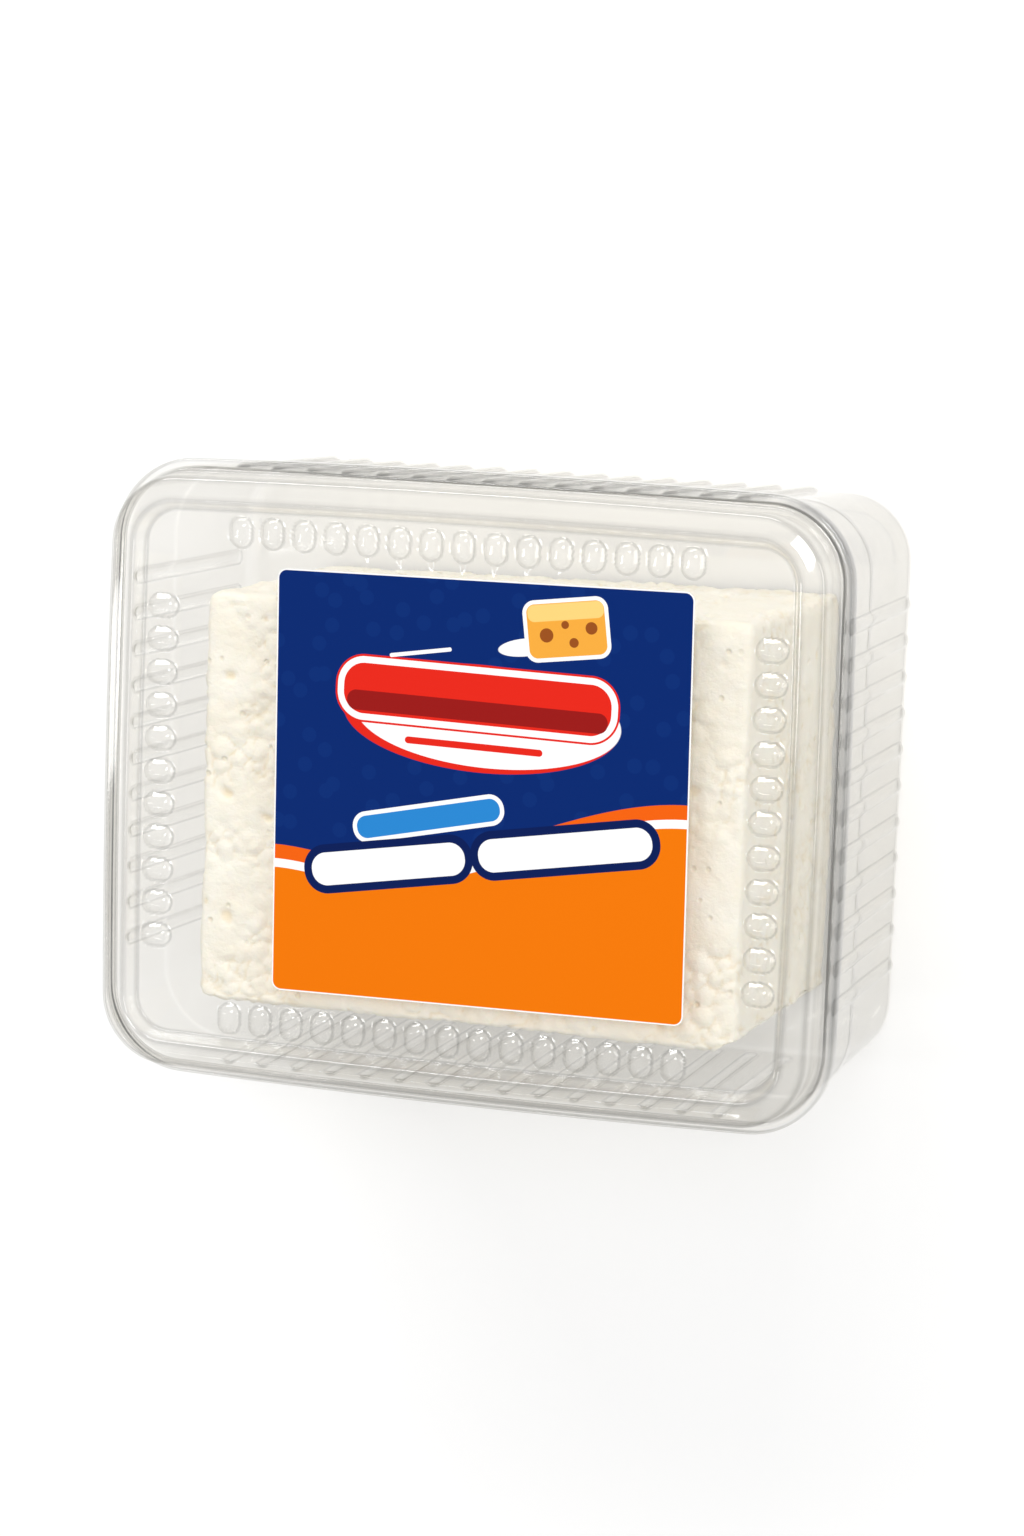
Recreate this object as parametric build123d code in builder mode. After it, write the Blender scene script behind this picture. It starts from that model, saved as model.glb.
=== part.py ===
"""A 1 kg block of white brined cheese in its clear retail pack.

Four pieces: a thin-walled clear tray with ribbed walls, a push-fit clear lid whose raised ridge
frames a recessed panel with a row of short flutes along each side, a printed label stuck on that
panel, and the block of cheese inside.

Frame: the pack lies on its tray, lid up. X runs along the long sides, Y points to the top of the
label and Z is up, with the origin at the middle of the tray's underside. Millimetres.
"""
import os
from math import radians, tan

from build123d import *

# --- Overall sizes ---
PACK_LENGTH = 178.4          # over the lid's skirt, along X, at the middle of the bowed sides
PACK_WIDTH = 146.0           # over the lid's skirt, along Y
TRAY_HEIGHT = 72.0           # underside of the tray to the top of its flange
DOME_HEIGHT = 11.6           # top of the tray's flange to the top of the lid's ridge
SHEET = 0.6                  # thickness of the formed plastic sheet

# --- Outline of the rim: four gently bowed sides with round corners ---
RIM_CORNER_RADIUS = 19.0
LONG_SIDE_BOW = 1.3          # how far the long sides stand out at their middle
SHORT_SIDE_BOW = 1.1

# --- Lid ---
LIP_WIDTH = 2.8              # flat lip round the foot of the dome
SKIRT_DEPTH = 2.6            # the lip's edge turned down over the tray's flange
DOME_LEAN = 0.8              # how far the dome's wall leans in
SHOULDER_DROP = 0.9          # the ridge's outer edge lies this much lower than its top
SHOULDER_WIDTH = 3.5         # sloping outer part of the ridge
RIDGE_FLAT = 2.4             # flat top of the ridge
RECESS_DEPTH = 4.0           # top of the ridge down to the panel
RECESS_LEAN = 1.8            # how far the recess's wall leans in
PANEL_LAND = 1.0             # strip of panel turned with the ridge's section
BEND_RADIUS = 0.7            # inner radius of the lid's formed bends

# --- Flutes of the lid's panel: short raised pills pointing in from its edge ---
FLUTE_PITCH = 7.7
FLUTE_RADIUS = 3.3
FLUTE_RISE = 1.6
FLUTE_LENGTH = 7.8           # over its round ends, where it leaves the panel
FLUTE_EDGE_GAP = 1.2         # edge of the panel to a flute's outer end
FLUTE_CORNER_GAP = 22.0      # least plain stretch between the last flute and the corner

# --- Tray ---
SKIRT_CLEARANCE = 0.4        # between the tray's flange and the lid's skirt
WALL_INSET = 2.6             # pack outline to the wall's outer face, at the flange
WALL_DRAFT = 1.6             # degrees
WALL_CORNER_EASE = 1.0       # the wall's corners, at the flange, are this much tighter than the rim's
WALL_STEP = 0.4              # the wall steps in by this much
WALL_STEP_DROP = 27.5        # top of the flange down to that step
BASE_RADIUS = 4.5            # between the wall and the base

# --- Ribs of the tray's walls: half-round bulges with rounded ends, hollow inside ---
RIB_PITCH = 8.6
RIB_RADIUS = 2.1
RIB_RISE = 1.1               # how far a rib stands out of the wall
RIB_FOOT = 5.5               # height of a rib's lower end
RIB_TOP_DROP = 6.0           # top of the flange down to a rib's upper end
RIB_CORNER_GAP = 7.0         # least plain wall between the last rib and the corner

# --- Label, placed between the inner ends of the flutes ---
LABEL_THICKNESS = 0.3
LABEL_CORNER_RADIUS = 2.2
LABEL_LEFT_GAP = 24.9
LABEL_RIGHT_GAP = 13.7
LABEL_NEAR_GAP = 4.7         # on the side of its lower edge, towards -Y
LABEL_FAR_GAP = 3.1
LABEL_TURN = 0.7             # degrees

# --- Cheese, placed inside the foot of the tray's wall ---
CHEESE_LEFT_GAP = 19.0
CHEESE_RIGHT_GAP = 16.0
CHEESE_NEAR_GAP = 13.3
CHEESE_FAR_GAP = 23.0         # at its right end
CHEESE_LID_GAP = 3.8         # top of the cheese to the panel's underside
CHEESE_TAPER = 2.0           # its left end is this much narrower, as it was cut
CHEESE_EDGE_RADIUS = 1.8
CORNER_CUT = (6.0, 3.5)      # the one bevelled upright corner, along X and Y

# --- Worked out from the sizes above ---
DRAFT = tan(radians(WALL_DRAFT))
WALL_CORNER_RADIUS = RIM_CORNER_RADIUS - WALL_CORNER_EASE
WALL_LENGTH = PACK_LENGTH - 2 * WALL_INSET
WALL_WIDTH = PACK_WIDTH - 2 * WALL_INSET
WALL_STEP_HEIGHT = TRAY_HEIGHT - WALL_STEP_DROP
FOOT_INSET = WALL_INSET + TRAY_HEIGHT * DRAFT + WALL_STEP + SHEET
DOME_TOP = TRAY_HEIGHT + DOME_HEIGHT
PANEL_TOP = DOME_TOP - RECESS_DEPTH
PANEL_BOTTOM = PANEL_TOP - SHEET
PANEL_INSET = LIP_WIDTH + DOME_LEAN + SHOULDER_WIDTH + RIDGE_FLAT + RECESS_LEAN
FLUTE_OUTER_INSET = PANEL_INSET + FLUTE_EDGE_GAP
FLUTE_INNER_INSET = FLUTE_OUTER_INSET + FLUTE_LENGTH


def rim_outline(inset):
    """The pack's bowed, round-cornered outline, drawn this far inside its rim."""
    half_x = PACK_LENGTH / 2 - inset
    half_y = PACK_WIDTH / 2 - inset
    corner_x = half_x - SHORT_SIDE_BOW
    corner_y = half_y - LONG_SIDE_BOW
    with BuildSketch() as outline:
        with BuildLine():
            ThreePointArc((corner_x, -corner_y), (half_x, 0), (corner_x, corner_y))
            ThreePointArc((corner_x, corner_y), (0, half_y), (-corner_x, corner_y))
            ThreePointArc((-corner_x, corner_y), (-half_x, 0), (-corner_x, -corner_y))
            ThreePointArc((-corner_x, -corner_y), (0, -half_y), (corner_x, -corner_y))
        make_face()
        fillet(outline.vertices(), RIM_CORNER_RADIUS - inset)
    return outline.sketch


def pill(radius, length):
    """A round-ended rod along Z, this long between the centres of its ends."""
    with BuildPart() as rod:
        Cylinder(radius, length)
        with Locations((0, 0, -length / 2), (0, 0, length / 2)):
            Sphere(radius)
    return rod.part


def row_offsets(room, pitch):
    """Evenly pitched places along a run with this much room, centred on its middle."""
    count = int(room // pitch) + 1
    return [(index - (count - 1) / 2) * pitch for index in range(count)]


# --- Tray: ribbed wall, base and flange, one formed sheet ---
def wall_inset_at(height):
    """How far the wall's outer face lies inside its flange-level outline, at this height."""
    step = WALL_STEP if height < WALL_STEP_HEIGHT else 0.0
    return (TRAY_HEIGHT - height) * DRAFT + step


def wall_outline(inset):
    """Round-cornered outline of the wall, drawn this far inside its flange-level face."""
    with BuildSketch() as outline:
        RectangleRounded(WALL_LENGTH - 2 * inset, WALL_WIDTH - 2 * inset, WALL_CORNER_RADIUS - inset)
    return outline.sketch


def wall_body(skin, floor, top):
    """The tray's body without ribs, from floor to top, this far inside its outer face."""
    above_step = wall_inset_at(WALL_STEP_HEIGHT) + skin
    with BuildPart() as body:
        with BuildSketch(Plane.XY.offset(WALL_STEP_HEIGHT)):
            add(wall_outline(above_step))
        extrude(amount=top - WALL_STEP_HEIGHT, taper=-WALL_DRAFT)
        with BuildSketch(Plane.XY.offset(WALL_STEP_HEIGHT)):
            add(wall_outline(above_step + WALL_STEP))
        extrude(amount=floor - WALL_STEP_HEIGHT, taper=WALL_DRAFT)
        base_edges = body.faces().sort_by(Axis.Z)[0].edges()
        fillet(base_edges, BASE_RADIUS - skin)
    return body.part


def rib_places():
    """Where each rib's axis stands: halfway up the rib, leaning with its wall."""
    middle = (RIB_FOOT + TRAY_HEIGHT - RIB_TOP_DROP) / 2
    sunk = wall_inset_at(middle) + RIB_RADIUS - RIB_RISE
    plain = WALL_CORNER_RADIUS + RIB_CORNER_GAP
    places = []
    for side in (1, -1):
        for along in row_offsets(WALL_WIDTH - 2 * plain, RIB_PITCH):
            centre = (side * (WALL_LENGTH / 2 - sunk), along, middle)
            places.append(Plane(centre, x_dir=(0, 1, 0), z_dir=(side * DRAFT, 0, 1)).location)
        for along in row_offsets(WALL_LENGTH - 2 * plain, RIB_PITCH):
            centre = (along, side * (WALL_WIDTH / 2 - sunk), middle)
            places.append(Plane(centre, x_dir=(1, 0, 0), z_dir=(0, side * DRAFT, 1)).location)
    return places


rib_run = TRAY_HEIGHT - RIB_TOP_DROP - RIB_FOOT - 2 * RIB_RADIUS
with BuildPart() as tray:
    add(wall_body(0.0, 0.0, TRAY_HEIGHT))
    rib_outside = pill(RIB_RADIUS, rib_run)
    with Locations(*rib_places()):
        add(rib_outside)
    with BuildSketch(Plane.XY.offset(TRAY_HEIGHT - SHEET)):
        add(rim_outline(SHEET + SKIRT_CLEARANCE))
    extrude(amount=SHEET)
    add(wall_body(SHEET, SHEET, TRAY_HEIGHT + SHEET), mode=Mode.SUBTRACT)
    rib_inside = pill(RIB_RADIUS - SHEET, rib_run)
    with Locations(*rib_places()):
        add(rib_inside, mode=Mode.SUBTRACT)


# --- Lid: lip with its skirt, dome, ridge and recessed, fluted panel, one formed sheet ---
def ridge_face(skin):
    """The lid's upper face as (inset, height, bend radius), or its lower face at skin = SHEET.

    It is drawn from the foot of the dome to the panel. A bend's inner face has the bend radius
    and its outer face has the sheet's thickness more.
    """
    crest = LIP_WIDTH + DOME_LEAN + SHOULDER_WIDTH
    convex = BEND_RADIUS + SHEET - skin
    hollow = BEND_RADIUS + skin
    return [
        (LIP_WIDTH + skin, TRAY_HEIGHT + SHEET - skin, hollow),
        (LIP_WIDTH + DOME_LEAN + skin, DOME_TOP - SHOULDER_DROP - skin, convex),
        (crest, DOME_TOP - skin, convex),
        (crest + RIDGE_FLAT - skin, DOME_TOP - skin, convex),
        (PANEL_INSET - skin, PANEL_TOP - skin, hollow),
        (PANEL_INSET + PANEL_LAND, PANEL_TOP - skin, 0.0),
    ]


def flute_places():
    """Where each flute's middle lies, its axis level and pointing to the panel's middle."""
    sunk = PANEL_TOP + FLUTE_RISE - FLUTE_RADIUS
    inset = FLUTE_OUTER_INSET + FLUTE_LENGTH / 2
    plain = PANEL_INSET + FLUTE_CORNER_GAP
    places = []
    for side in (1, -1):
        for along in row_offsets(PACK_WIDTH - 2 * plain, FLUTE_PITCH):
            centre = (side * (PACK_LENGTH / 2 - inset), along, sunk)
            places.append(Plane(centre, x_dir=(0, 1, 0), z_dir=(side, 0, 0)).location)
        for along in row_offsets(PACK_LENGTH - 2 * plain, FLUTE_PITCH):
            centre = (along, side * (PACK_WIDTH / 2 - inset), sunk)
            places.append(Plane(centre, x_dir=(1, 0, 0), z_dir=(0, side, 0)).location)
    return places


skirt_section = [
    (SHEET, TRAY_HEIGHT, 0.0),
    (SHEET, TRAY_HEIGHT - SKIRT_DEPTH, 0.0),
    (0.0, TRAY_HEIGHT - SKIRT_DEPTH, 0.0),
    (0.0, TRAY_HEIGHT + SHEET, SHEET),
]
lid_section = skirt_section + ridge_face(0.0) + ridge_face(SHEET)[::-1]

flute_reach = (FLUTE_RADIUS**2 - (FLUTE_RADIUS - FLUTE_RISE) ** 2) ** 0.5
flute_run = FLUTE_LENGTH - 2 * flute_reach
with BuildPart() as flutes:
    flute_outside = pill(FLUTE_RADIUS, flute_run)
    with Locations(*flute_places()):
        add(flute_outside)
    split(bisect_by=Plane.XY.offset(PANEL_BOTTOM), keep=Keep.TOP)

with BuildPart() as lid:
    lid_corners = [(inset, height) for inset, height, _ in lid_section]
    lid_bends = [bend for _, _, bend in lid_section]
    for arc in rim_outline(0.0).edges():
        start = arc @ 0 - arc.arc_center
        turn = start.get_signed_angle(arc @ 1 - arc.arc_center, Vector(0, 0, 1))
        with BuildSketch(Plane(arc @ 0, x_dir=-start, z_dir=Vector(0, 0, 1).cross(start))):
            with BuildLine():
                FilletPolyline(*lid_corners, radius=lid_bends, close=True)
            make_face()
        revolve(axis=Axis(arc.arc_center, (0, 0, 1)), revolution_arc=turn)
    with BuildSketch(Plane.XY.offset(PANEL_BOTTOM)):
        add(rim_outline(PANEL_INSET))
    extrude(amount=SHEET)
    add(flutes.part)
    flute_inside = pill(FLUTE_RADIUS - SHEET, flute_run)
    with Locations(*flute_places()):
        add(flute_inside, mode=Mode.SUBTRACT)


# --- Label on the lid's panel ---
label_left = FLUTE_INNER_INSET + LABEL_LEFT_GAP - PACK_LENGTH / 2
label_right = PACK_LENGTH / 2 - FLUTE_INNER_INSET - LABEL_RIGHT_GAP
label_near = FLUTE_INNER_INSET + LABEL_NEAR_GAP - PACK_WIDTH / 2
label_far = PACK_WIDTH / 2 - FLUTE_INNER_INSET - LABEL_FAR_GAP
with BuildPart() as label:
    with BuildSketch(Plane.XY.offset(PANEL_TOP)):
        with Locations(((label_left + label_right) / 2, (label_near + label_far) / 2)):
            RectangleRounded(
                label_right - label_left, label_far - label_near, LABEL_CORNER_RADIUS, rotation=LABEL_TURN
            )
    extrude(amount=LABEL_THICKNESS)


# --- Cheese, lying on the tray's base ---
cheese_left = FOOT_INSET + CHEESE_LEFT_GAP - PACK_LENGTH / 2
cheese_right = PACK_LENGTH / 2 - FOOT_INSET - CHEESE_RIGHT_GAP
cheese_near = FOOT_INSET + CHEESE_NEAR_GAP - PACK_WIDTH / 2
cheese_far = PACK_WIDTH / 2 - FOOT_INSET - CHEESE_FAR_GAP
with BuildPart() as feta_block:
    with BuildSketch(Plane.XY.offset(SHEET)):
        with BuildLine():
            Polyline(
                (cheese_left, cheese_near),
                (cheese_right - CORNER_CUT[0], cheese_near),
                (cheese_right, cheese_near + CORNER_CUT[1]),
                (cheese_right, cheese_far),
                (cheese_left, cheese_far - CHEESE_TAPER),
                close=True,
            )
        make_face()
    extrude(amount=PANEL_BOTTOM - CHEESE_LID_GAP - SHEET)
    fillet(feta_block.edges(), CHEESE_EDGE_RADIUS)


os.makedirs("parts", exist_ok=True)

tray.part.label = "tray"
export_step(tray.part, "parts/tray.step")

lid.part.label = "lid"
export_step(lid.part, "parts/lid.step")

label.part.label = "label"
export_step(label.part, "parts/label.step")

feta_block.part.label = "feta_block"
export_step(feta_block.part, "parts/feta_block.step")
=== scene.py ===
"""Looks of a block of white brined cheese in its clear lidded pack, lying on its tray."""

import bpy
import numpy as np
from mathutils import Matrix, Vector, noise


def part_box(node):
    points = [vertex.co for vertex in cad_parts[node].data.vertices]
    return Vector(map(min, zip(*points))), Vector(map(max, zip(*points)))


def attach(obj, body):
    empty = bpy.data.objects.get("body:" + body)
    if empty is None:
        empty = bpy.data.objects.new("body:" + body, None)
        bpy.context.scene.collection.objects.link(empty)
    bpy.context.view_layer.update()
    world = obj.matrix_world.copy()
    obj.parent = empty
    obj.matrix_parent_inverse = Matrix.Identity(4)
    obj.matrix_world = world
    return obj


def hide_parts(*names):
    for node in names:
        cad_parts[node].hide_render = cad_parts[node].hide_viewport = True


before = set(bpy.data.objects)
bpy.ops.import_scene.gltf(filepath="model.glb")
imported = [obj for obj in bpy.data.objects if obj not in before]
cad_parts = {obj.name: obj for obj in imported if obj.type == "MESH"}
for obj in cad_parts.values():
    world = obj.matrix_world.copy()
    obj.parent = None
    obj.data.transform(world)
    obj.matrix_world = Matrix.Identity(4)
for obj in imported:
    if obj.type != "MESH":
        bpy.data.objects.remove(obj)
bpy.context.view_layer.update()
MM = 0.001

# --- Camera: its axes and place in the pack's frame, at the photograph's angle to the lid ---
CAMERA_RIGHT = Vector((0.9435, 0.0346, -0.3297))
CAMERA_UP = Vector((-0.0807, 0.9886, -0.1270))
CAMERA_BACK = Vector((0.3215, 0.1465, 0.9355))
CAMERA_PLACE = Vector((332.0, 152.8, 1007.0)) * MM
LENS = 103.3                 # on a 36 mm sensor, along the picture's longer side

# --- Cheese ---
CHEESE_STEPS = (0.7 * MM, 0.7 * MM, 1.15 * MM)   # spacing of its mesh along X, Y and Z
CHEESE_EDGE = (3.4 * MM, 3.4 * MM, 1.5 * MM)     # how far its soft edges reach along them
BEVEL_ALONG = (6.0 * MM, 3.5 * MM)               # the bevelled upright corner, along X and Y
EDGE_CALM = 0.55             # how much smoother its edges are than its faces
CHEESE_SPARE = 0.3 * MM      # the smooth block lies this far inside its CAD solid
CHEESE_TAPER = 2.0 * MM      # its left end is this much narrower, on its far side

# --- Formed clear sheet, in millimetres: its outer face is that of its CAD solids ---
CAD_SHEET = 0.6              # thickness of the CAD solids
SHEET = 0.42                 # thickness of the sheet here
RIM_RADIUS = 19.0            # corners of the lid's outline
RIM_BOWS = (1.1, 1.3)        # how far its short and long sides stand out at their middle
BEND = 0.7                   # inner radius of a formed bend
BEND_SHADE_MASK = 0.14             # mask value of a sharp bend, which the film turns into a painted grey shade line
BEND_FULL = 0.3              # turn from one step to the next, in radians, that gives all of it
FREE_EDGE = 0.15             # radius of the sheet's cut edges

# the lid's section, inward from its skirt
LIP_WIDTH, DOME_LEAN, SHOULDER_WIDTH, SHOULDER_DROP = 2.8, 0.8, 3.5, 0.9
RIDGE_FLAT, RECESS_LEAN, RECESS_DEPTH = 2.4, 1.8, 4.0
PANEL_INSET = LIP_WIDTH + DOME_LEAN + SHOULDER_WIDTH + RIDGE_FLAT + RECESS_LEAN
PANEL_START = 0.9            # width of the plain edge round the panel's own rings
PANEL_SPARE = 0.03           # the panel lies this far under the label
LID_SAG, LID_WAVE = 0.2, 29.0    # depth and length of its unevenness
LID_STEADY = 4.0             # height over which the unevenness grows, above the lip

# the tray's section, inward from the lid's outline
FLANGE_INSET, WALL_INSET, WALL_RADIUS = 1.0, 2.6, 18.0
WALL_DRAFT = 0.0279          # the wall leans in by this share of its height
BASE_RADIUS = 4.5
BASE_START = 0.5             # width of the plain edge round the base's own rings
WALL_STEP, WALL_STEP_DROP = 0.4, 27.5    # its step inward, and how far below the flange
STEP_HALF, STEP_BEND = 0.3, 0.4  # half the height of the wall's step, and its bends' radius
WALL_SAG, WALL_WAVE = 0.1, 23.0  # depth and length of its unevenness
WALL_STEADY = 5.0            # height over which the unevenness grows, below the flange

# the wall's ribs and the panel's flutes: half-round pills that stand out from the sheet
RIB = {"pitch": 8.6, "radius": 2.1, "rise": 1.1}
RIB_FOOT, RIB_TOP_DROP = 5.5, 6.0        # their ends, above the floor and below the flange
RIB_PLAIN = 25.0             # length without ribs at both ends of a side
FLUTE = {"pitch": 7.7, "radius": 3.3, "rise": 1.6}
FLUTE_LENGTH, FLUTE_GAP = 7.8, 1.2       # their length, and the gap to the panel's edge
FLUTE_PLAIN = 33.3           # length without flutes at both ends of a side
SOFT_FOOT = 0.2              # how softly a rib or flute runs out into the sheet
FAR = 99.0                   # stands for a place with no rib or flute near it

# how fine the meshes are
BEND_POINTS = 5              # points on a bend's section
SECTION_STEP = 1.5           # longest step between the points of the lid's section
WALL_ROW_STEP = 4.6          # the same for the tray's wall
LID_COLUMNS = (168, 132, 13)     # columns along a long side, a short side and a corner
TRAY_COLUMNS = (252, 194, 12)
RIB_END_ROWS = (-0.3, 0.15, 0.5, 0.9, 1.4, 2.1)                # rows in from a rib's tip
FLUTE_SHRINKS = [1 - 0.0064 * step for step in range(1, 22)]   # rings over the flutes
MIDDLE_SHRINKS = [0.84, 0.66, 0.48, 0.3, 0.13]                 # and on to the middle


# ---------- helpers ----------
def link(thing):
    bpy.context.scene.collection.objects.link(thing)
    return thing


class Nodes:
    """A small writer of node trees."""

    def __init__(self, name, owner=None):
        self.owner = owner or bpy.data.materials.new(name)
        self.owner.use_nodes = True
        self.tree = self.owner.node_tree
        self.tree.nodes.clear()

    def add(self, kind, **settings):
        node = self.tree.nodes.new(kind)
        for key, value in settings.items():
            setattr(node, key, value)
        return node

    def put(self, value, socket):
        """Link a node's output to this socket, or give it a plain value."""
        if isinstance(value, bpy.types.NodeSocket):
            self.tree.links.new(value, socket)
        else:
            socket.default_value = value

    def math(self, operation, *values):
        node = self.add("ShaderNodeMath", operation=operation)
        for value, socket in zip(values, node.inputs):
            self.put(value, socket)
        return node.outputs[0]

    def ramp(self, value, low, high, start=0.0, end=1.0):
        """From start to end as value goes from low to high, smoothly."""
        node = self.add("ShaderNodeMapRange", interpolation_type="SMOOTHSTEP")
        for item, name in (
            (value, "Value"),
            (low, "From Min"),
            (high, "From Max"),
            (start, "To Min"),
            (end, "To Max"),
        ):
            self.put(item, node.inputs[name])
        return node.outputs[0]

    def mix(self, factor, first, second):
        """One colour mixed with another."""
        node = self.add("ShaderNodeMix", data_type="RGBA")
        self.put(factor, node.inputs[0])
        self.put(first, node.inputs[6])
        self.put(second, node.inputs[7])
        return node.outputs[2]

    def blend(self, factor, first, second):
        """One shader mixed with another."""
        node = self.add("ShaderNodeMixShader")
        for value, socket in zip((factor, first, second), node.inputs):
            self.put(value, socket)
        return node.outputs[0]

    def noise(self, vector, scale, detail=2.0, roughness=0.5):
        node = self.add("ShaderNodeTexNoise")
        self.put(vector, node.inputs["Vector"])
        node.inputs["Scale"].default_value = scale
        node.inputs["Detail"].default_value = detail
        node.inputs["Roughness"].default_value = roughness
        return node.outputs["Fac"]

    def finish(self, shader, output="ShaderNodeOutputMaterial"):
        """The material or world that shows this shader."""
        out = self.add(output)
        self.tree.links.new(shader, out.inputs["Surface"])
        return self.owner


def srgb(red, green, blue):
    """A linear colour from the 0 to 255 values of a screen."""
    def linear(value):
        value /= 255
        return value / 12.92 if value <= 0.04045 else ((value + 0.055) / 1.055) ** 2.4

    return (linear(red), linear(green), linear(blue), 1.0)


# ---------- camera, lights, floor ----------
def make_camera():
    camera = bpy.data.cameras.new("camera")
    camera.lens = LENS
    camera.clip_end = 50
    holder = link(bpy.data.objects.new("camera", camera))
    turn = Matrix((CAMERA_RIGHT, CAMERA_UP, CAMERA_BACK)).transposed()
    holder.matrix_world = Matrix.Translation(CAMERA_PLACE) @ turn.to_4x4()
    bpy.context.scene.camera = holder


LAMP_DISTANCE = 1.8
LAMP_AIM = Vector((0, 0, 0.04))      # the middle of the pack
LAMPS = (                            # name, width, height, watts and way from the pack
    ("top", 1.4, 0.34, 14, (-0.25, 0.84, 0.46)),
    ("left", 0.12, 0.8, 1.8, (-0.73, -0.1, 0.67)),
    ("above", 0.5, 0.6, 7.5, (0.24, 0.3, 0.93)),
    ("near", 0.6, 0.06, 1.0, (-0.32, -0.58, 0.75)),
    ("right", 1.0, 0.8, 7, (0.85, 0.1, 0.5)),
)


def make_lamp(name, width, height, power, way):
    """A softbox in this direction from the pack, facing it."""
    lamp = bpy.data.lights.new(name, "AREA")
    lamp.shape = "RECTANGLE"
    lamp.size = width
    lamp.size_y = height
    lamp.energy = power
    holder = link(bpy.data.objects.new(name, lamp))
    way = Vector(way).normalized()
    holder.location = way * LAMP_DISTANCE + LAMP_AIM
    holder.rotation_euler = way.to_track_quat("Z", "Y").to_euler()


FLOOR_HALF = 4.0
FLOOR_DROP = 0.2 * MM        # the floor lies this far under the tray
FLOOR_COLOR = (0.82, 0.82, 0.82, 1)
FLOOR_LIFT = 0.22            # of white, added to what the camera sees of the floor


def make_floor():
    mesh = bpy.data.meshes.new("floor")
    half = FLOOR_HALF
    corners = [(-half, -half, 0), (half, -half, 0), (half, half, 0), (-half, half, 0)]
    mesh.from_pydata(corners, [], [(0, 1, 2, 3)])
    floor = link(bpy.data.objects.new("floor", mesh))
    floor.location.z = -FLOOR_DROP
    n = Nodes("floor_white")
    diffuse = n.add("ShaderNodeBsdfDiffuse")
    diffuse.inputs["Color"].default_value = FLOOR_COLOR
    path = n.add("ShaderNodeLightPath")
    seen = n.math("MAXIMUM", path.outputs["Is Camera Ray"], path.outputs["Is Glossy Ray"])
    seen = n.math("MAXIMUM", seen, path.outputs["Is Transmission Ray"])
    glow = n.add("ShaderNodeEmission")
    n.put(n.math("MULTIPLY", seen, FLOOR_LIFT), glow.inputs["Strength"])
    both = n.add("ShaderNodeAddShader")
    n.put(diffuse.outputs[0], both.inputs[0])
    n.put(glow.outputs[0], both.inputs[1])
    mesh.materials.append(n.finish(both.outputs[0]))


ROOM_RISE = (0.02, 0.45)     # where it brightens, from the horizon at 0 to overhead at 1
ROOM_LEVELS = (0.34, 0.56)   # its strength at both ends of that
ROOM_IN_GLASS = 0.6          # how much brighter it shows in the clear film


def make_world():
    """A pale room, bright above and darker round the horizon, and white behind the pack."""
    n = Nodes("world", bpy.data.worlds.new("world"))
    split = n.add("ShaderNodeSeparateXYZ")
    n.put(n.add("ShaderNodeTexCoord").outputs["Generated"], split.inputs[0])
    path = n.add("ShaderNodeLightPath")
    glossy, through = path.outputs["Is Glossy Ray"], path.outputs["Is Transmission Ray"]
    in_glass = n.math("MAXIMUM", glossy, through)
    lift = n.math("ADD", n.math("MULTIPLY", in_glass, ROOM_IN_GLASS), 1.0)
    level = n.math("MULTIPLY", n.ramp(split.outputs[2], *ROOM_RISE, *ROOM_LEVELS), lift)
    back = n.add("ShaderNodeBackground")
    back.inputs["Color"].default_value = (1, 1, 1, 1)
    n.put(n.math("MAXIMUM", level, path.outputs["Is Camera Ray"]), back.inputs["Strength"])
    bpy.context.scene.world = n.finish(back.outputs[0], "ShaderNodeOutputWorld")


# ---------- clear sheet: shapes in millimetres ----------
def rounded(corners, step):
    """Section points along corners (inset, height, bend radius), no further apart than step."""
    line = []
    for index, (inset, height, radius) in enumerate(corners):
        here = np.array((inset, height), float)
        if radius == 0:
            line.append(here)
            continue
        back = np.array(corners[index - 1][:2]) - here
        on = np.array(corners[index + 1][:2]) - here
        back /= np.linalg.norm(back)
        on /= np.linalg.norm(on)
        half = np.arccos(back @ on) / 2
        centre = here + (back + on) / np.linalg.norm(back + on) * radius / np.sin(half)
        first = here + back * radius / np.tan(half) - centre
        last = here + on * radius / np.tan(half) - centre
        sweep = np.pi - 2 * half
        for share in np.linspace(0, 1, BEND_POINTS):
            arm = np.sin((1 - share) * sweep) * first + np.sin(share * sweep) * last
            line.append(centre + arm / np.sin(sweep))
    points = [line[0]]
    for start, end in zip(line, line[1:]):
        count = max(1, int(np.ceil(np.linalg.norm(end - start) / step)))
        points += [start + (end - start) * part / count for part in range(1, count + 1)]
    return points


def bend_lines(section, columns):
    """The mask value of each ring of a section, higher on its bends, where the film paints a grey
    shade line.
    """
    runs = np.diff(np.array([section[0], *section, section[-1]]), axis=0)
    ways = np.arctan2(runs[:, 1], runs[:, 0])
    turns = np.abs((np.diff(ways) + np.pi) % (2 * np.pi) - np.pi)
    turns[[0, -1]] = 0
    return [np.full(columns, BEND_SHADE_MASK * min(1.0, turn / BEND_FULL)) for turn in turns]


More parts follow.
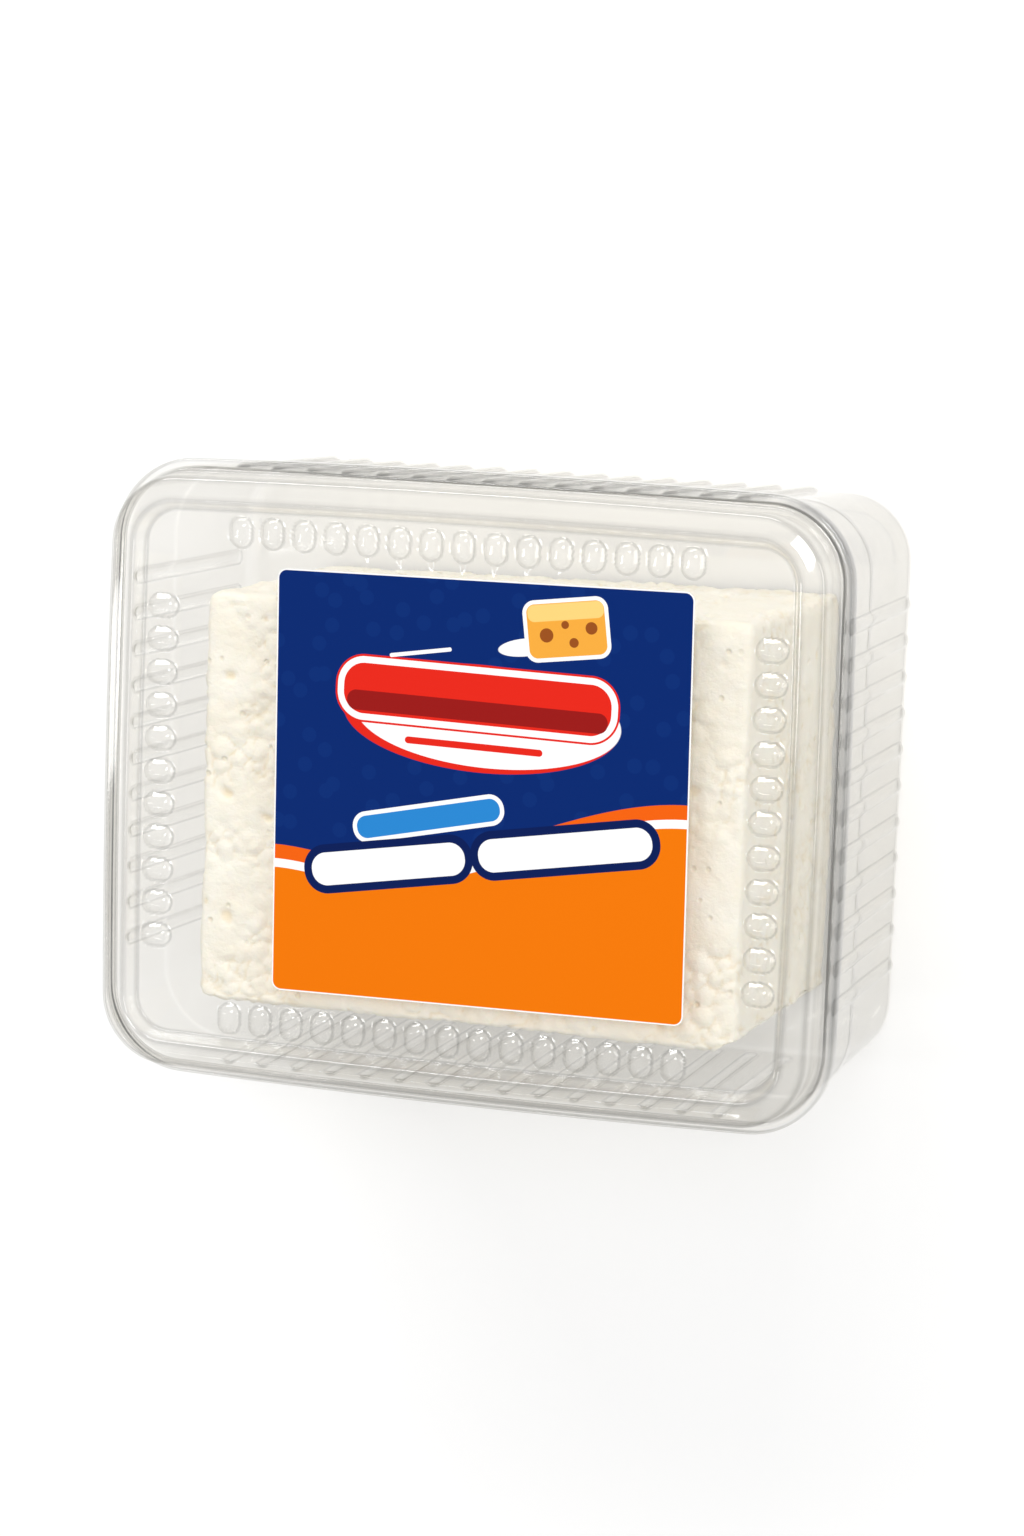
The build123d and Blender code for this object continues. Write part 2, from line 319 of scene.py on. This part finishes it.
def spine(half, radius, columns):
    """Each mesh column's root, on the rectangle of the corners' centres, and its way out."""
    reach = half - radius
    long_count, short_count, corner_count = columns
    roots, ways = [], []
    for turn, out in enumerate(((1, 0), (0, 1), (-1, 0), (0, -1))):
        out = np.array(out)
        along = np.array((-out[1], out[0]))
        run = along * reach[1 - turn % 2]
        middle = out * reach[turn % 2]
        for share in np.linspace(-1, 1, (short_count, long_count)[turn % 2]):
            roots.append(middle + run * share)
            ways.append(out)
        for angle in np.arange(1, corner_count + 1) / (corner_count + 1) * np.pi / 2:
            roots.append(middle + run)
            ways.append(out * np.cos(angle) + along * np.sin(angle))
    return np.array(roots, float), np.array(ways, float)


def rim_ring(columns, half, inset, height):
    """A level ring of points on the pack's outline, this far inside it, its sides bowed out."""
    roots, ways = columns
    x, y = (roots + ways * (RIM_RADIUS - inset)).T
    flat_x = x * (1 - RIM_BOWS[0] / half[0] * (y / half[1]) ** 2)
    flat_y = y * (1 - RIM_BOWS[1] / half[1] * (x / half[0]) ** 2)
    return np.column_stack([flat_x, flat_y, np.full(len(x), height)])


def row_offsets(room, pitch):
    """The places of a row at this pitch, about its middle, in this much room."""
    count = int(room // pitch) + 1
    return (np.arange(count) - (count - 1) / 2) * pitch


def raised(base, away, pill, skin):
    """How far the sheet stands out where a half-round pill, this far away, rises from its base."""
    dome = np.sqrt(np.maximum((pill["radius"] - skin) ** 2 - away**2, 0))
    top = dome - (pill["radius"] - pill["rise"])
    return 0.5 * (base + top + np.sqrt((base - top) ** 2 + SOFT_FOOT**2))


def from_run(along, across, half_run):
    """Distance to a straight run this long on each side of its middle."""
    return np.hypot(np.maximum(np.abs(along) - half_run, 0), across)


def wave(spots):
    """Gentle unevenness from 0 to 1 at each spot."""
    return np.array([0.5 + 0.5 * noise.noise(Vector(spot)) for spot in spots])


def ring_mesh(name, rings, formed, material):
    """A closed skin from rings of points, with a middle point closing the first and last ring.

    The formed values, one for each ring's points, say how far ribs and flutes stand out there and
    how sharply the sheet bends; from them the film paints grey shade lines and a white highlight
    haze.
    """
    count, columns = len(rings), len(rings[0])
    ends = np.array([rings[0].mean(0), rings[-1].mean(0)])
    points = np.concatenate([*rings, ends]) * MM
    number = np.arange(count * columns).reshape(count, columns)
    ahead = np.roll(number, -1, 1)
    quads = np.stack([number[:-1], number[1:], ahead[1:], ahead[:-1]], -1).reshape(-1, 4)
    first = count * columns
    faces = quads.tolist()
    faces += [(first, int(a), int(b)) for a, b in zip(number[0], ahead[0])]
    faces += [(first + 1, int(b), int(a)) for a, b in zip(number[-1], ahead[-1])]
    mesh = bpy.data.meshes.new(name)
    mesh.from_pydata(points.tolist(), [], faces)
    shape_mask = np.concatenate([*formed, [0, 0]])
    mesh.attributes.new("shape_mask", "FLOAT", "POINT").data.foreach_set("value", shape_mask)
    mesh.shade_smooth()
    mesh.materials.append(material)
    return link(bpy.data.objects.new(name, mesh))


def make_lid(material):
    """One skin: from the panel's middle over the outer face, round the skirt's edge and back."""
    low, high = (np.array(corner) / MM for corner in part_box("lid"))
    half, top = high[:2], high[2]
    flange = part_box("tray")[1][2] / MM
    panel = top - RECESS_DEPTH - PANEL_SPARE
    crest = LIP_WIDTH + DOME_LEAN + SHOULDER_WIDTH

    def face_corners(skin):
        """The section's corners from the panel out to the lip, this deep in the sheet."""
        convex = BEND + CAD_SHEET - skin
        hollow = BEND + skin
        return [
            (PANEL_INSET + PANEL_START, panel - skin, 0),
            (PANEL_INSET - skin, panel - skin, hollow),
            (crest + RIDGE_FLAT - skin, top - skin, convex),
            (crest, top - skin, convex),
            (LIP_WIDTH + DOME_LEAN + skin, top - SHOULDER_DROP - skin, convex),
            (LIP_WIDTH + skin, flange + CAD_SHEET - skin, hollow),
        ]

    skirt = [
        (0, flange + CAD_SHEET, CAD_SHEET),
        (0, low[2], FREE_EDGE),
        (SHEET, low[2], FREE_EDGE),
        (SHEET, flange + CAD_SHEET - SHEET, FREE_EDGE),
    ]
    section = rounded(face_corners(0.0) + skirt + face_corners(SHEET)[::-1], SECTION_STEP)
    columns = spine(half, RIM_RADIUS, LID_COLUMNS)
    rings = [rim_ring(columns, half, inset, height) for inset, height in section]

    reach = np.sqrt(FLUTE["radius"] ** 2 - (FLUTE["radius"] - FLUTE["rise"]) ** 2)
    middle = half - (PANEL_INSET + FLUTE_GAP + FLUTE_LENGTH / 2)

    def panel_rings(edge, skin):
        """The panel's rings inside its edge, this deep in the sheet, and how far their flutes
        stand out, as a mask for the film's painted shade and highlight.
        """
        rows, shape_mask = [], []
        for share in FLUTE_SHRINKS + [FLUTE_SHRINKS[-1] * shrink for shrink in MIDDLE_SHRINKS]:
            flat = edge[:, :2] * share
            away = np.full(len(flat), FAR)
            for axis in (0, 1):
                along = np.abs(flat[:, axis]) - middle[axis]
                for offset in row_offsets(2 * (half[1 - axis] - FLUTE_PLAIN), FLUTE["pitch"]):
                    across = flat[:, 1 - axis] - offset
                    away = np.minimum(away, from_run(along, across, FLUTE_LENGTH / 2 - reach))
            out = raised(-skin, away, FLUTE, skin)
            rows.append(np.column_stack([flat, panel + out]))
            shape_mask.append((out + skin) / FLUTE["rise"])
        return rows, shape_mask

    upper, upper_shape_mask = panel_rings(rings[0], 0.0)
    lower, lower_shape_mask = panel_rings(rings[-1], SHEET)
    formed = upper_shape_mask[::-1] + bend_lines(section, len(rings[0])) + lower_shape_mask
    rings = upper[::-1] + rings + lower
    for ring in rings:
        share = np.clip((ring[:, 2] - flange - CAD_SHEET) / LID_STEADY, 0, 1)
        ring[:, 2] -= LID_SAG * share * wave(ring * (1, 1, 0) / LID_WAVE)
    lid = ring_mesh("clear_lid", rings, formed, material)
    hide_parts("lid")
    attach(lid, "root")


def make_tray(material):
    """One skin: from the base's middle up the inner face, round the flange's edge and back."""
    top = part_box("tray")[1][2] / MM
    rim = np.array(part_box("lid")[1][:2]) / MM
    half = rim - WALL_INSET
    roots, ways = spine(half, WALL_RADIUS, TRAY_COLUMNS)
    across = np.full(len(roots), FAR)
    for axis in (0, 1):
        on_side = np.abs(ways[:, axis]) > 0.999
        for offset in row_offsets(2 * (half[1 - axis] - RIB_PLAIN), RIB["pitch"]):
            gap = np.where(on_side, np.abs(roots[:, 1 - axis] - offset), FAR)
            across = np.minimum(across, gap)
    rib_top = top - RIB_TOP_DROP
    rib_middle = (RIB_FOOT + rib_top) / 2
    rib_run = rib_top - RIB_FOOT - 2 * RIB["radius"]
    step_at = top - WALL_STEP_DROP
    rib_ends = [RIB_FOOT + shift for shift in RIB_END_ROWS]
    rib_tops = [rib_top - shift for shift in RIB_END_ROWS[::-1]]

    def face(skin):
        """Rings this deep in the sheet, from the base's middle to the wall's top."""
        def on_wall(height, radius=0.0):
            step = WALL_STEP if height < step_at else 0.0
            return ((top - height) * WALL_DRAFT + step + skin, height, radius)

        corners = [
            (on_wall(0)[0] + BASE_RADIUS + BASE_START, skin, 0),
            on_wall(skin, BASE_RADIUS - skin),
            *[on_wall(height) for height in rib_ends],
            on_wall(step_at - STEP_HALF, STEP_BEND),
            on_wall(step_at + STEP_HALF, STEP_BEND),
            *[on_wall(height) for height in rib_tops],
            on_wall(top - SHEET + skin),
        ]
        rings, shape_mask = [], []
        for inset, height in rounded(corners, WALL_ROW_STEP):
            away = from_run(height - rib_middle, across, rib_run / 2)
            out = raised(-skin, away, RIB, skin) + skin
            shape_mask.append(out / RIB["rise"])
            flat = roots + ways * (WALL_RADIUS + out - inset)[:, None]
            uneven = wave(np.column_stack([flat, np.full(len(flat), height)]) / WALL_WAVE)
            sag = WALL_SAG * uneven * min(1.0, (top - height) / WALL_STEADY)
            flat -= ways * sag[:, None]
            rings.append(np.column_stack([flat, np.full(len(flat), height)]))
        edge = rings[0] * (1, 1, 0)
        base = [edge * shrink + (0, 0, skin) for shrink in MIDDLE_SHRINKS[::-1]]
        return base + rings, [np.zeros(len(roots))] * len(base) + shape_mask

    columns = spine(rim, RIM_RADIUS, TRAY_COLUMNS)
    flange = [
        rim_ring(columns, rim, FLANGE_INSET + FREE_EDGE, top),
        rim_ring(columns, rim, FLANGE_INSET, top - FREE_EDGE),
        rim_ring(columns, rim, FLANGE_INSET, top - SHEET + FREE_EDGE),
        rim_ring(columns, rim, FLANGE_INSET + FREE_EDGE, top - SHEET),
    ]
    inner, inner_shape_mask = face(SHEET)
    outer, outer_shape_mask = face(0.0)
    formed = inner_shape_mask + [np.zeros(len(roots))] * len(flange) + outer_shape_mask[::-1]
    tray = ring_mesh("clear_tray", inner + flange + outer[::-1], formed, material)
    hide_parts("tray")
    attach(tray, "root")


# ---------- clear film ----------
FILM_TINT = (0.990, 0.987, 0.979, 1)     # what each face of the sheet lets through, face on
FILM_EDGE = (0.80, 0.79, 0.765, 1)       # and edge on: darker, partly for the longer way through the sheet and partly as painted shade for the light that a real sheet turns aside there
EDGE_POWER = 3.5             # how suddenly it goes from the one to the other
FACE_SHINE = 0.075           # share that the sheet reflects, face on
SHINE_POWER = 5.0            # how suddenly it reflects all, edge on
SHINE_ROUGHNESS = 0.06
PAINTED_BEND_SHADE = 0.12             # painted shade: how grey a bend is, and the foot of a rib or flute, where a real sheet turns light aside
SHADE_LINE_RISE, SHADE_LINE_FALL = (0.02, 0.12), (0.2, 0.45)     # mask values where that painted grey comes and goes
HIGHLIGHT_HAZE_SHARE = 0.10           # how white the sheet turns on ribs and flutes: partly the stress-whitening of a drawn-out sheet, partly a painted highlight
HIGHLIGHT_HAZE_RISE = (0.2, 0.9)      # mask values where that whitening and painted highlight come
HIGHLIGHT_HAZE_COLOR = (0.98, 0.98, 0.97, 1)
BLACK, WHITE = (0, 0, 0, 1), (1, 1, 1, 1)


def clear_film():
    """A sheet thin enough to see straight through, with mirror-like faces, painted grey shade on
    its edges and bends, and a painted white highlight haze on its ribs and flutes.
    """
    n = Nodes("clear_film")
    facing = n.add("ShaderNodeLayerWeight")
    facing.inputs["Blend"].default_value = 0.5
    slope = facing.outputs["Facing"]
    shape_mask = n.add("ShaderNodeAttribute", attribute_name="shape_mask").outputs["Fac"]

    # painted shade: grey lines on the bends and at the feet of ribs and flutes, which stand in for
    # the light that a real bent sheet turns aside
    painted_shade = n.math("MULTIPLY", n.ramp(shape_mask, *SHADE_LINE_RISE), n.ramp(shape_mask, *SHADE_LINE_FALL, PAINTED_BEND_SHADE, 0.0))
    # edge on the sheet darkens: partly for its longer way through, partly as painted shade for the
    # light that a real sheet refracts aside
    tint = n.mix(n.math("POWER", slope, EDGE_POWER), FILM_TINT, FILM_EDGE)
    clear = n.add("ShaderNodeBsdfTransparent")
    n.put(n.mix(painted_shade, tint, BLACK), clear.inputs["Color"])

    # it reflects at the face that a ray meets first, and lets light itself straight through
    gloss = n.add("ShaderNodeBsdfGlossy")
    gloss.inputs["Color"].default_value = WHITE
    gloss.inputs["Roughness"].default_value = SHINE_ROUGHNESS
    steep = n.math("MULTIPLY", n.math("POWER", slope, SHINE_POWER), 1 - FACE_SHINE)
    shine = n.math("ADD", steep, FACE_SHINE)
    path = n.add("ShaderNodeLightPath")
    straight = n.math("MAXIMUM", path.outputs["Is Shadow Ray"], path.outputs["Is Diffuse Ray"])
    inside = n.add("ShaderNodeNewGeometry").outputs["Backfacing"]
    outside = n.math("SUBTRACT", 1.0, n.math("MAXIMUM", straight, inside))
    sheet = n.blend(n.math("MULTIPLY", shine, outside), clear.outputs[0], gloss.outputs[0])

    # white haze on the tops of ribs and flutes: partly stress-whitening of the drawn-out sheet,
    # partly a painted highlight that makes them read as bright tubes
    highlight_haze_through = n.add("ShaderNodeBsdfTranslucent")
    highlight_haze_through.inputs["Color"].default_value = HIGHLIGHT_HAZE_COLOR
    highlight_haze_face = n.add("ShaderNodeBsdfDiffuse")
    highlight_haze_face.inputs["Color"].default_value = HIGHLIGHT_HAZE_COLOR
    highlight_haze = n.blend(0.5, highlight_haze_through.outputs[0], highlight_haze_face.outputs[0])
    return n.finish(n.blend(n.ramp(shape_mask, *HIGHLIGHT_HAZE_RISE, 0.0, HIGHLIGHT_HAZE_SHARE), sheet, highlight_haze))


# ---------- cheese ----------
# its relief, in millimetres
SWELL, SWELL_HEIGHT = 20.0, 0.3      # broad swells
ROLL, ROLL_HEIGHT = 6.5, 0.34        # shorter ones
LUMP = 4.0                           # lumps of curd
LUMP_WARP = 1.5                      # how far they are pushed out of an even pattern
LUMP_HEIGHTS = (0.38, 0.6)           # where the curd is closed, and more where it is open
PATCH = 13.0                         # patches of open curd
SEAM_WIDTH, SEAM_DEPTH = 0.25, 0.45  # seams between the lumps, in open patches
PIT, PIT_DEPTH = 6.5, 1.0            # places for pits
PIT_WARP = 0.8                       # how much of the lumps' warp the pits have
PIT_REACH = (0.14, 0.14)             # smallest, and how much more the largest have
PIT_SHARE = 0.66                     # share of the places without a pit
PIT_ROUND = 0.6                      # below 1 for a steep brim and a flat bottom
GRAIN, GRAIN_HEIGHT = 1.7, 0.09      # fine grain
RELIEF_DROP = 0.25                   # keeps the lumps' tops inside the CAD solid
CURD_SEED = 7                        # without it noise_vector differs from run to run


def box_lattice(low, high, steps):
    """Points and quads of a box's surface on a regular lattice."""
    counts = [round((high[i] - low[i]) / steps[i]) for i in range(3)]
    grid = np.indices([c + 1 for c in counts])
    on_skin = np.zeros(grid.shape[1:], bool)
    for axis, count in enumerate(counts):
        on_skin |= (grid[axis] == 0) | (grid[axis] == count)
    number = np.full(on_skin.shape, -1)
    number[on_skin] = np.arange(on_skin.sum())
    share = grid[:, on_skin].T / np.array(counts)
    points = np.array(low) + share * (np.array(high) - np.array(low))
    quads = []
    for axis, count in enumerate(counts):
        for end, flip in ((0, axis != 1), (count, axis == 1)):
            sheet = np.take(number, end, axis)
            a, b = sheet[:-1, :-1], sheet[1:, :-1]
            c, d = sheet[1:, 1:], sheet[:-1, 1:]
            ring = (a, d, c, b) if flip else (a, b, c, d)
            quads.append(np.stack([side.ravel() for side in ring], 1))
    return points, np.concatenate(quads)


def cell_share(spot):
    """A value from 0 to 1 that is the same all over one cell."""
    return 0.5 + 0.5 * noise.cell(spot)


def curd_relief(place):
    """Height of the curd's surface in metres, and how deep in a pit or seam it is from 0 to 1."""
    spot = place / MM
    swell = noise.noise(spot / SWELL) * SWELL_HEIGHT
    rolling = swell + noise.noise(spot / ROLL + Vector((9, 2, 5))) * ROLL_HEIGHT
    warp = noise.noise_vector(spot / LUMP) * LUMP_WARP
    near, _ = noise.voronoi((spot + warp) / LUMP)
    patch = min(1.0, max(0.0, noise.noise(spot / PATCH + Vector((3, 7, 11))) * 3.0 + 0.5))
    seam = max(0.0, 1 - (near[1] - near[0]) / SEAM_WIDTH) ** 2 * patch
    lump = (0.42 - near[0]) * (LUMP_HEIGHTS[0] + LUMP_HEIGHTS[1] * patch)
    pit_near, pit_at = noise.voronoi((spot + warp * PIT_WARP) / PIT + Vector((21, 5, 2)))
    pit = 0.0
    if cell_share(pit_at[0] * 7.3) > PIT_SHARE:
        reach = PIT_REACH[0] + PIT_REACH[1] * cell_share(pit_at[0] * 3.1 + Vector((5, 5, 5)))
        pit = max(0.0, 1 - pit_near[0] / reach) ** PIT_ROUND
    grain = noise.fractal(spot / GRAIN, 1.0, 2.0, 3) * GRAIN_HEIGHT
    raised_by = rolling + lump + grain
    cut_by = PIT_DEPTH * pit + SEAM_DEPTH * seam + RELIEF_DROP
    return (raised_by - cut_by) * MM, min(1.0, max(pit, seam * 0.7))


def make_cheese():
    low, high = (np.array(corner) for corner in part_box("feta_block"))
    low, high = low + CHEESE_SPARE, high - CHEESE_SPARE
    low[2] -= CHEESE_SPARE
    points, quads = box_lattice(low, high, CHEESE_STEPS)

    # soft edges
    edge = np.array(CHEESE_EDGE)
    core = np.clip(points, low + edge, high - edge)
    out = (points - core) / edge
    calm = 1 - EDGE_CALM * np.sort(np.abs(out), 1)[:, 1]
    out /= np.maximum(np.linalg.norm(out, axis=1, keepdims=True), 1.0)
    points = core + out * edge
    normal = out / edge
    normal /= np.linalg.norm(normal, axis=1, keepdims=True)

    # the bevelled corner, then the narrower left end
    cut = np.array([BEVEL_ALONG[1], -BEVEL_ALONG[0], 0.0])
    cut /= np.linalg.norm(cut)
    corner = np.array([high[0] - BEVEL_ALONG[0], low[1], 0.0])
    past = np.maximum(points @ cut - corner @ cut, 0.0)
    points -= past[:, None] * cut
    normal[past > 0] = cut
    from_right = (high[0] - points[:, 0]) / (high[0] - low[0])
    points[:, 1] -= CHEESE_TAPER * from_right * (points[:, 1] - low[1]) / (high[1] - low[1])

    # the curd
    noise.seed_set(CURD_SEED)
    hollow = np.zeros(len(points))
    for index, point in enumerate(points):
        height, hollow[index] = curd_relief(Vector(point))
        points[index] += normal[index] * height * calm[index]
    points[:, 2] = np.maximum(points[:, 2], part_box("feta_block")[0][2])

    mesh = bpy.data.meshes.new("cheese")
    mesh.from_pydata(points.tolist(), [], quads.tolist())
    mesh.attributes.new("hollow", "FLOAT", "POINT").data.foreach_set("value", hollow)
    mesh.shade_smooth()
    mesh.materials.append(cheese_surface())
    cheese = link(bpy.data.objects.new("cheese", mesh))
    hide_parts("feta_block")
    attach(cheese, "root")


CURD_COLORS = ((0.955, 0.90, 0.78, 1), (0.975, 0.94, 0.845, 1))    # its mottle
PIT_SHADE_COLOR = (0.84, 0.72, 0.50, 1)                               # painted shade: a darker, warmer colour in pits and seams
# painted shade inside the pinholes
PINHOLE_SHADE_COLOR = (0.80, 0.66, 0.42, 1)
MOTTLE_SCALE, PINHOLE_SCALE, GRAIN_SCALE = 90, 260, 900            # cells in a metre


def cheese_surface():
    n = Nodes("cheese_curd")
    place = n.add("ShaderNodeTexCoord").outputs["Object"]
    hollow = n.add("ShaderNodeAttribute", attribute_name="hollow").outputs["Fac"]
    mottle = n.noise(place, MOTTLE_SCALE, 4, 0.6)
    body = n.mix(n.ramp(mottle, 0.35, 0.7), *CURD_COLORS)
    # painted shade: pits and seams darker and warmer, where less light falls in
    color = n.mix(n.ramp(hollow, 0.1, 1.0, 0.0, 0.85), body, PIT_SHADE_COLOR)
    cells = n.add("ShaderNodeTexVoronoi")
    n.put(place, cells.inputs["Vector"])
    cells.inputs["Scale"].default_value = PINHOLE_SCALE
    chosen = n.ramp(cells.outputs["Color"], 0.58, 0.66)
    pinhole = n.math("MULTIPLY", n.ramp(cells.outputs["Distance"], 0.08, 0.24, 1.0, 0.0), chosen)
    # painted shade: the pinholes, also dented by the bump, darker inside
    color = n.mix(n.math("MULTIPLY", pinhole, 0.3), color, PINHOLE_SHADE_COLOR)
    shade = n.add("ShaderNodeBsdfPrincipled")
    n.put(color, shade.inputs["Base Color"])
    shade.inputs["Roughness"].default_value = 0.55
    shade.inputs["Subsurface Weight"].default_value = 0.12
    shade.inputs["Subsurface Scale"].default_value = 0.002
    shade.inputs["Subsurface Radius"].default_value = (1.0, 0.7, 0.4)
    grain = n.noise(place, GRAIN_SCALE, 4, 0.6)
    height = n.math("SUBTRACT", grain, n.math("MULTIPLY", pinhole, 1.5))
    bump = n.add("ShaderNodeBump")
    bump.inputs["Strength"].default_value = 0.6
    bump.inputs["Distance"].default_value = 0.0004
    n.put(height, bump.inputs["Height"])
    n.put(bump.outputs[0], shade.inputs["Normal"])
    return n.finish(shade.outputs[0])


# ---------- label: plain fields of colour, in millimetres from its middle ----------
LABEL_SIZE = (99.2, 97.6)
LABEL_CORNER = 2.2
LABEL_TURN = 0.0122          # in radians
PRINT_SOFTNESS = 0.06
LABEL_LIGHT = 0.6            # share of the light that the thin label lets through to the cheese
LIGHT_TINT = (1.0, 0.91, 0.76, 1)

NAVY, DEEP_NAVY = srgb(0, 38, 108), srgb(2, 26, 84)
SPOT_BLUE, SKY = srgb(40, 95, 180), srgb(40, 132, 205)
ORANGE, DEEP_ORANGE = srgb(238, 118, 0), srgb(238, 96, 10)
PAPER, RED, DEEP_RED = srgb(252, 252, 252), srgb(226, 38, 24), srgb(150, 22, 20)
GOLD, PALE_GOLD, BROWN = srgb(240, 168, 62), srgb(252, 208, 122), srgb(150, 78, 28)
OVAL_TURN, WEDGE_TURN, BAR_TURN, SMALL_BAR_TURN = -0.03, 0.12, 0.15, 0.2
WEDGE_HOLES = (((15.3, 37.2), 3.2), ((21.8, 35.9), 2.2), ((25.8, 39.4), 2.8), ((19.6, 39.8), 1.8))
BARS = (((-21.5, -17.4), (37.5, 7.6)), ((20.8, -11.0), (41.5, 7.6)))


class Print(Nodes):
    """A node tree that lays flat shapes over each other on the label."""

    def __init__(self, name):
        super().__init__(name)
        low, high = (Vector(corner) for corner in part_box("label"))
        own = self.add("ShaderNodeMapping", vector_type="TEXTURE")
        self.put(self.add("ShaderNodeTexCoord").outputs["Object"], own.inputs["Vector"])
        own.inputs["Location"].default_value = (low + high) / 2
        own.inputs["Rotation"].default_value = (0, 0, LABEL_TURN)
        own.inputs["Scale"].default_value = (MM, MM, MM)
        self.place = own.outputs[0]
        self.x, self.y = self.split(self.place)

    def split(self, vector):
        node = self.add("ShaderNodeSeparateXYZ")
        self.put(vector, node.inputs[0])
        return node.outputs[0], node.outputs[1]

    def turned(self, middle, turn):
        """The print's x and y measured from here, turned this much."""
        own = self.add("ShaderNodeMapping", vector_type="TEXTURE")
        self.put(self.place, own.inputs["Vector"])
        own.inputs["Location"].default_value = (*middle, 0)
        own.inputs["Rotation"].default_value = (0, 0, turn)
        return self.split(own.outputs[0])

    def bar(self, middle, size, corner, turn=0.0):
        """Distance outside a round-cornered bar."""
        x, y = self.turned(middle, turn)
        past_x = self.math("SUBTRACT", self.math("ABSOLUTE", x), size[0] / 2 - corner)
        past_y = self.math("SUBTRACT", self.math("ABSOLUTE", y), size[1] / 2 - corner)
        out_x, out_y = (self.math("MAXIMUM", past, 0.0) for past in (past_x, past_y))
        square = self.math("ADD", self.math("POWER", out_x, 2.0), self.math("POWER", out_y, 2.0))
        inner = self.math("MINIMUM", self.math("MAXIMUM", past_x, past_y), 0.0)
        reach = self.math("ADD", self.math("SQRT", square), inner)
        return self.math("SUBTRACT", reach, corner)

    def oval(self, middle, size, turn=0.0):
        """Roughly the distance outside an oval."""
        x, y = self.turned(middle, turn)
        share_x = self.math("POWER", self.math("DIVIDE", x, size[0] / 2), 2.0)
        share_y = self.math("POWER", self.math("DIVIDE", y, size[1] / 2), 2.0)
        level = self.math("SQRT", self.math("ADD", share_x, share_y))
        return self.math("MULTIPLY", self.math("SUBTRACT", level, 1.0), min(size) / 2)

    def lay(self, color, distance, over, grow=0.0):
        """This colour inside the shape, grown this much, over what is there."""
        inside = self.ramp(distance, grow - PRINT_SOFTNESS, grow + PRINT_SOFTNESS, 1.0, 0.0)
        return self.mix(inside, over, color)


def print_field(n):
    """A dark blue field with pale spots, over an orange wave with a white line along it."""
    spots = n.add("ShaderNodeTexVoronoi", voronoi_dimensions="2D")
    n.put(n.place, spots.inputs["Vector"])
    spots.inputs["Scale"].default_value = 0.13
    spot = n.ramp(spots.outputs["Distance"], 0.2, 0.25, 0.05, 0.0)
    color = n.mix(spot, NAVY, SPOT_BLUE)
    right = n.ramp(n.x, -28.0, 49.6, -17.8, 1.2)
    left = n.ramp(n.x, -49.6, -22.0, 3.0, 0.0)
    wave_edge = n.math("SUBTRACT", n.y, n.math("ADD", right, left))
    for layer, depth in ((DEEP_ORANGE, 0.0), (PAPER, 3.3), (ORANGE, 5.3)):
        color = n.lay(layer, wave_edge, color, -depth)
    return color


def print_oval(n, color):
    """A red bar with a dark lower half on a white oval, both ringed."""
    color = n.lay(RED, n.oval((0.0, 17.4), (66.0, 24.5), OVAL_TURN), color)
    color = n.lay(PAPER, n.oval((1.6, 17.6), (63.5, 22.6), OVAL_TURN), color)
    head = n.bar((-1.0, 21.8), (64.0, 11.6), 5.0, OVAL_TURN)
    for layer, grow in ((RED, 2.0), (PAPER, 1.5), (RED, 0.0)):
        color = n.lay(layer, head, color, grow)
    color = n.lay(DEEP_RED, n.bar((-1.0, 19.0), (62.4, 4.6), 2.2, OVAL_TURN), color)
    return n.lay(RED, n.bar((-1.5, 11.0), (33.0, 1.6), 0.8, OVAL_TURN), color)


def print_wedge(n, color):
    """A piece of holed cheese, with a thin bar and a small oval beside it."""
    color = n.lay(PAPER, n.bar((-14.6, 31.6), (15.0, 0.9), 0.4, 0.15), color)
    color = n.lay(PAPER, n.oval((10.4, 34.2), (13.0, 4.0), 0.15), color)
    wedge = n.bar((20.0, 38.8), (18.4, 12.2), 2.0, WEDGE_TURN)
    color = n.lay(PAPER, wedge, color, 0.9)
    color = n.lay(GOLD, wedge, color)
    color = n.lay(PALE_GOLD, n.bar((19.6, 42.8), (18.0, 3.8), 1.6, WEDGE_TURN), color)
    for middle, size in WEDGE_HOLES:
        color = n.lay(BROWN, n.oval(middle, (size, size)), color)
    return color


def print_bars(n, color):
    """One small bar above two large ones."""
    small = n.bar((-12.0, -6.2), (35.0, 5.2), 2.4, SMALL_BAR_TURN)
    color = n.lay(PAPER, small, color, 1.0)
    color = n.lay(SKY, small, color)
    for middle, size in BARS:
        big = n.bar(middle, size, 3.6, BAR_TURN)
        color = n.lay(DEEP_NAVY, big, color, 1.9)
        color = n.lay(PAPER, big, color)
    return color


def label_print():
    n = Print("label_print")
    color = print_bars(n, print_wedge(n, print_oval(n, print_field(n))))
    rim = n.bar((0, 0), LABEL_SIZE, LABEL_CORNER)
    color = n.mix(n.ramp(rim, -0.34, -0.26), color, PAPER)
    shade = n.add("ShaderNodeBsdfPrincipled")
    n.put(color, shade.inputs["Base Color"])
    shade.inputs["Roughness"].default_value = 0.34
    shade.inputs["Specular IOR Level"].default_value = 0.08
    glow = n.add("ShaderNodeBsdfTransparent")
    glow.inputs["Color"].default_value = LIGHT_TINT
    path = n.add("ShaderNodeLightPath")
    light = n.math("MAXIMUM", path.outputs["Is Shadow Ray"], path.outputs["Is Diffuse Ray"])
    share = n.math("MULTIPLY", light, LABEL_LIGHT)
    return n.finish(n.blend(share, shade.outputs[0], glow.outputs[0]))


def dress(node, material):
    """Give the CAD piece of this node its look."""
    for slot in bpy.data.objects[node].material_slots:
        slot.material = material


make_camera()
bpy.context.scene.view_settings.view_transform = "Standard"
make_floor()
make_world()
for setup in LAMPS:
    make_lamp(*setup)
film = clear_film()
make_tray(film)
make_lid(film)
dress("label", label_print())
make_cheese()
